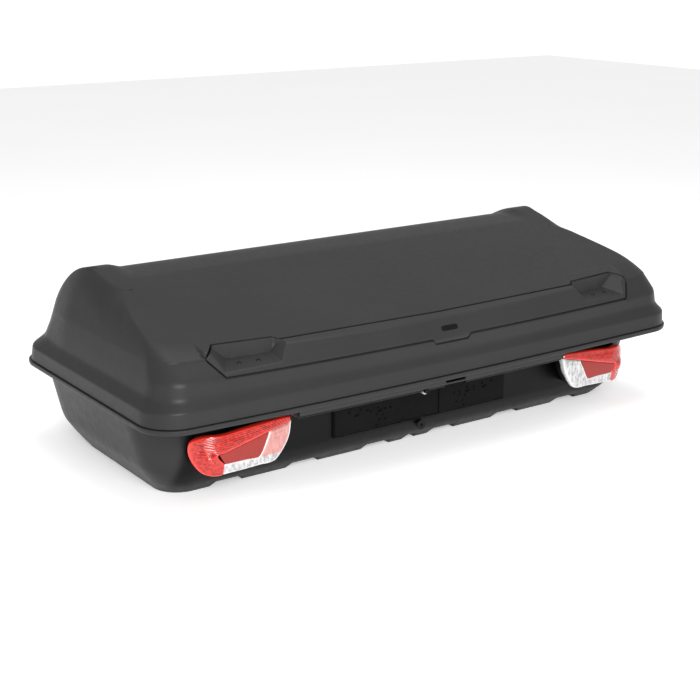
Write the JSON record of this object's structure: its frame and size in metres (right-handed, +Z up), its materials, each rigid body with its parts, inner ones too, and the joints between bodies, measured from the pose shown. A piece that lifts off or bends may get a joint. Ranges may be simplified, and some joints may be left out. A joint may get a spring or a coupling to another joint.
{
  "type": "platform cargo box",
  "caption": "Rear cargo box with a hinged bowed lid, gas struts, a key latch rod, rear lamps and a number-plate carrier over a ribbed tub.",
  "frame": {"origin": "under the middle of the box, on the plane of the floor ribs", "axes": "+X along the long side, to the right when the lamps are faced; -Y towards the lamps; +Z up"},
  "size_m": [1.45, 0.72, 0.4342],
  "materials": {
    "badge_plastic": "gloss, plain",
    "black_plastic": "moulded, matt",
    "black_screws": "black zinc",
    "bright_steel": "ground and polished",
    "bulb_glass": "clear glass",
    "chrome": "vacuum metallised",
    "clear_lens": "clear, fluted",
    "lid_plastic": "fine grained, satin",
    "lock_metal": "nickel plated",
    "red_lens": "clear red, prismatic",
    "retro_red": "red reflex prisms",
    "rubber": "soft rubber",
    "strut_paint": "satin black paint",
    "trim_plastic": "fine grained, satin",
    "tub_plastic": "fine grained, satin",
    "zinc_steel": "zinc plated"
  },
  "bodies": {
    "tub": {"cable_gland": "rubber", "carrier_screws": "black_screws", "drain_plugs": "rubber", "hinge_pin_centre": "bright_steel", "hinge_pin_left": "bright_steel", "hinge_pin_right": "bright_steel", "lamp_left_bracket": "black_plastic", "lamp_left_bulbs": "bulb_glass", "lamp_left_clear_lens": "clear_lens", "lamp_left_housing": "black_plastic", "lamp_left_red_lens": "red_lens", "lamp_left_reflector": "chrome", "lamp_left_retro": "retro_red", "lamp_right_bracket": "black_plastic", "lamp_right_bulbs": "bulb_glass", "lamp_right_clear_lens": "clear_lens", "lamp_right_housing": "black_plastic", "lamp_right_red_lens": "red_lens", "lamp_right_reflector": "chrome", "lamp_right_retro": "retro_red", "latch_cover": "trim_plastic", "lever_pin": "bright_steel", "lock_housing": "zinc_steel", "mount_plate_left": "zinc_steel", "mount_plate_right": "zinc_steel", "plate_carrier": "black_plastic", "plate_pad_left": "black_plastic", "plate_pad_right": "black_plastic", "rim_seal": "rubber", "rod_guides": "black_plastic", "strut_stud_left": "zinc_steel", "strut_stud_right": "zinc_steel", "tub_hinge_centre": "zinc_steel", "tub_hinge_left": "zinc_steel", "tub_hinge_right": "zinc_steel", "tub_hinge_screws": "black_screws", "tub_shell": "tub_plastic"},
    "lid": {"badge": "badge_plastic", "bracket_screws": "black_screws", "lid_hinge_centre": "zinc_steel", "lid_hinge_left": "zinc_steel", "lid_hinge_right": "zinc_steel", "lid_hinge_screws": "black_screws", "lid_shell": "lid_plastic", "striker_left": "zinc_steel", "striker_right": "zinc_steel", "strut_bracket_left": "zinc_steel", "strut_bracket_right": "zinc_steel", "trim_screws": "black_screws", "trim_strip": "trim_plastic"},
    "latch_rod": {"latch_rod": "zinc_steel"},
    "lock_barrel": {"lock_barrel": "lock_metal"},
    "release_lever": {"release_lever": "black_plastic"},
    "strut_cylinder_left": {"strut_cylinder_left": "strut_paint"},
    "strut_cylinder_right": {"strut_cylinder_right": "strut_paint"},
    "strut_rod_left": {"strut_rod_left": "bright_steel"},
    "strut_rod_right": {"strut_rod_right": "bright_steel"}
  },
  "joints": [
    {"name": "lid_hinge", "type": "hinge", "parent": "tub", "child": "lid", "pos_m": [0, 0.355, 0.201], "axis": [-1, 0, 0], "range_deg": [0, 55]},
    {"name": "strut_pivot_left", "type": "hinge", "parent": "tub", "child": "strut_cylinder_left", "pos_m": [-0.649, -0.15, 0.095], "axis": [1, 0, 0], "range_deg": [-1, 7.95]},
    {"name": "strut_slide_left", "type": "slide", "parent": "strut_cylinder_left", "child": "strut_rod_left", "axis": [0, 0.8575, 0.5145], "range_m": [-0.001, 0.21446]},
    {"name": "strut_pivot_right", "type": "hinge", "parent": "tub", "child": "strut_cylinder_right", "pos_m": [0.649, -0.15, 0.095], "axis": [1, 0, 0], "range_deg": [-1, 7.95]},
    {"name": "strut_slide_right", "type": "slide", "parent": "strut_cylinder_right", "child": "strut_rod_right", "axis": [0, 0.8575, 0.5145], "range_m": [-0.001, 0.21446]},
    {"name": "lock_turn", "type": "hinge", "parent": "tub", "child": "lock_barrel", "pos_m": [-0.072, -0.33, 0.172], "axis": [0, 1, 0], "range_deg": [-3, 93]},
    {"name": "latch_slide", "type": "slide", "parent": "tub", "child": "latch_rod", "axis": [1, 0, 0], "range_m": [0, 0.01796]},
    {"name": "lever_pull", "type": "hinge", "parent": "tub", "child": "release_lever", "pos_m": [0, -0.326, 0.178], "axis": [1, 0, 0], "range_deg": [0, 12], "stiffness_Nm_per_rad": 0.4}
  ],
  "couplings": [
    {"joint": "strut_pivot_left", "follows": "lid_hinge", "ratio": 0.1264},
    {"joint": "strut_slide_left", "follows": "lid_hinge", "m_per_rad": 0.22237},
    {"joint": "strut_pivot_right", "follows": "lid_hinge", "ratio": 0.1264},
    {"joint": "strut_slide_right", "follows": "lid_hinge", "m_per_rad": 0.22237},
    {"joint": "lock_turn", "follows": "latch_slide", "rad_per_m": 87.458}
  ]
}
